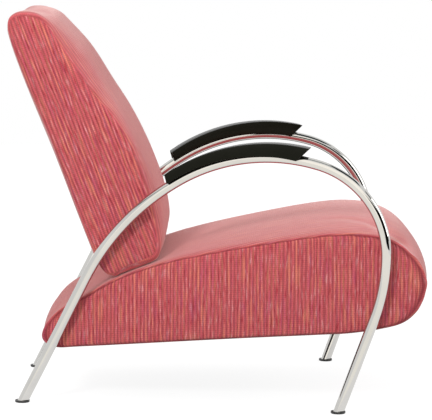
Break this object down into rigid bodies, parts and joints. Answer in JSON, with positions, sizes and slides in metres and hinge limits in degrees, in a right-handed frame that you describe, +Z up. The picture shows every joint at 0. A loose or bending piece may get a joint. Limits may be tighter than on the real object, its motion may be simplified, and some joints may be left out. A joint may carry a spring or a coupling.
{
  "type": "cantilever lounge chair",
  "caption": "Low lounge chair with a thick wedge seat and a leaning back in ribbed cloth, hung between bent chromed tube side frames with curved lacquered armrests.",
  "frame": {"origin": "on the floor under the middle of the chair's box, half way between its two side frames", "axes": "+X to the left of someone sitting in the chair, +Y backwards, so the chair faces -Y, +Z up"},
  "size_m": [0.68, 0.8998, 0.8352],
  "materials": {
    "chrome_tube": "polished",
    "lacquered_wood": "gloss",
    "steel_fixing": "satin",
    "black_plastic": "matte",
    "ribbed_cloth": "matte",
    "foam": "matte",
    "webbing": "matte",
    "dust_cloth": "matte",
    "plywood": "matte",
    "softwood": "matte"
  },
  "bodies": {
    "root": {"side_tube_right": "chrome_tube", "side_tube_left": "chrome_tube", "armrest_right": "lacquered_wood", "armrest_left": "lacquered_wood", "armrest_screws": "steel_fixing", "glide_front_right": "black_plastic", "glide_front_left": "black_plastic", "glide_rear_right": "black_plastic", "glide_rear_left": "black_plastic", "tube_bushes": "steel_fixing", "seat_cover": "ribbed_cloth", "seat_foam": "foam", "seat_webbing": "webbing", "seat_dust_cloth": "dust_cloth", "seat_side_panel_right": "plywood", "seat_side_panel_left": "plywood", "seat_front_rail": "softwood", "seat_middle_rail": "softwood", "seat_rear_rail": "softwood", "seat_corner_blocks": "softwood", "seat_frame_screws": "steel_fixing", "seat_spacers": "steel_fixing", "seat_bolts": "steel_fixing", "seat_washers": "steel_fixing", "back_cover": "ribbed_cloth", "back_foam": "foam", "back_webbing": "webbing", "back_side_panel_right": "plywood", "back_side_panel_left": "plywood", "back_bottom_rail": "softwood", "back_middle_rail": "softwood", "back_top_rail": "softwood", "back_frame_screws": "steel_fixing", "back_spacers": "steel_fixing", "back_bolts": "steel_fixing", "back_washers": "steel_fixing"}
  },
  "joints": []
}
